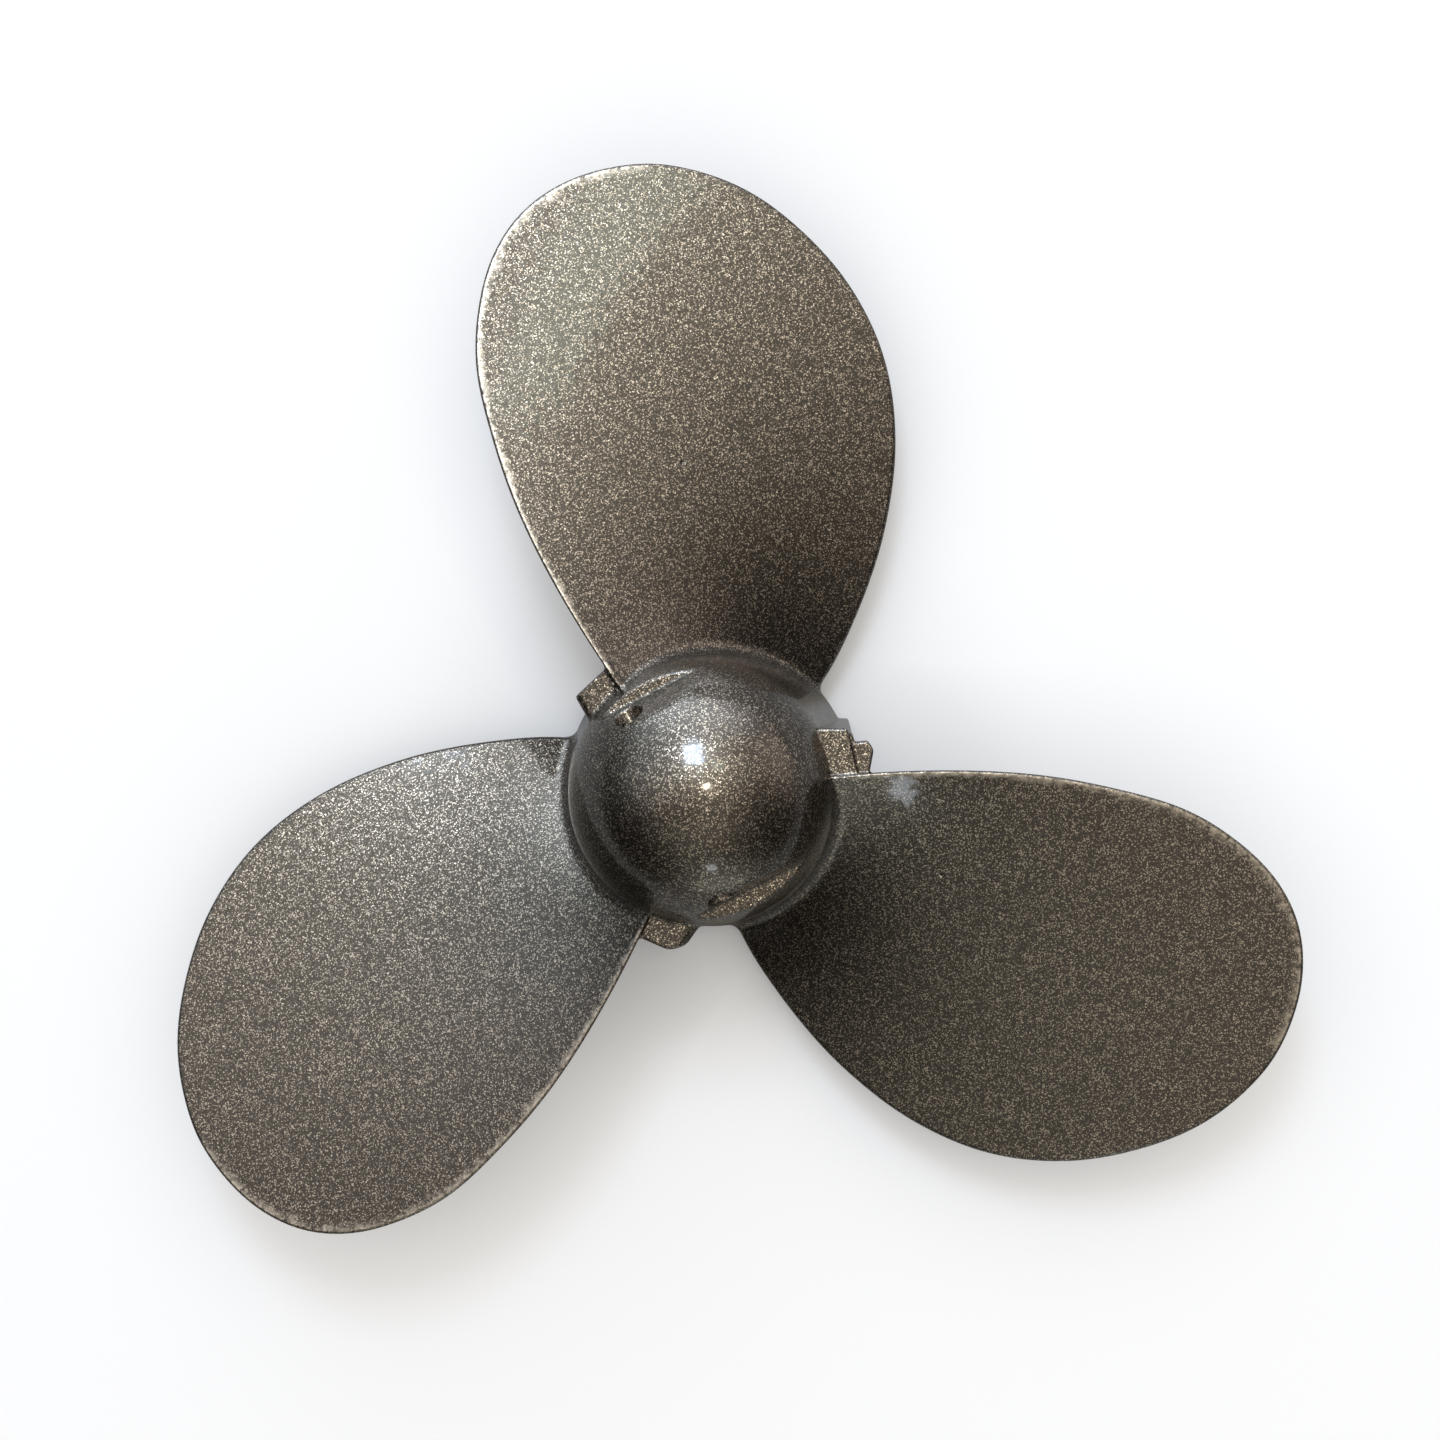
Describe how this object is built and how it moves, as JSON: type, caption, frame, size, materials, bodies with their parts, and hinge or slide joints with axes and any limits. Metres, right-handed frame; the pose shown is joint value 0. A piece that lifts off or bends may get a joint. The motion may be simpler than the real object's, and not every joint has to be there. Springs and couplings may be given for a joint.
{
  "type": "outboard motor propeller",
  "caption": "Right-handed screw propeller for a light outboard motor, broad blades cast in one piece with a tapered hub and a rounded nose.",
  "frame": {"origin": "on the shaft's axis, in the flat fore face of the hub", "axes": "+Z along the shaft toward the rounded nose, +Y along the first blade"},
  "size_m": [0.1667, 0.1532, 0.0443],
  "materials": {
    "bronze_grey_paint": "cast aluminium under bronze-grey metallic-flake paint"
  },
  "bodies": {
    "root": {"casting": "bronze_grey_paint"}
  },
  "joints": []
}
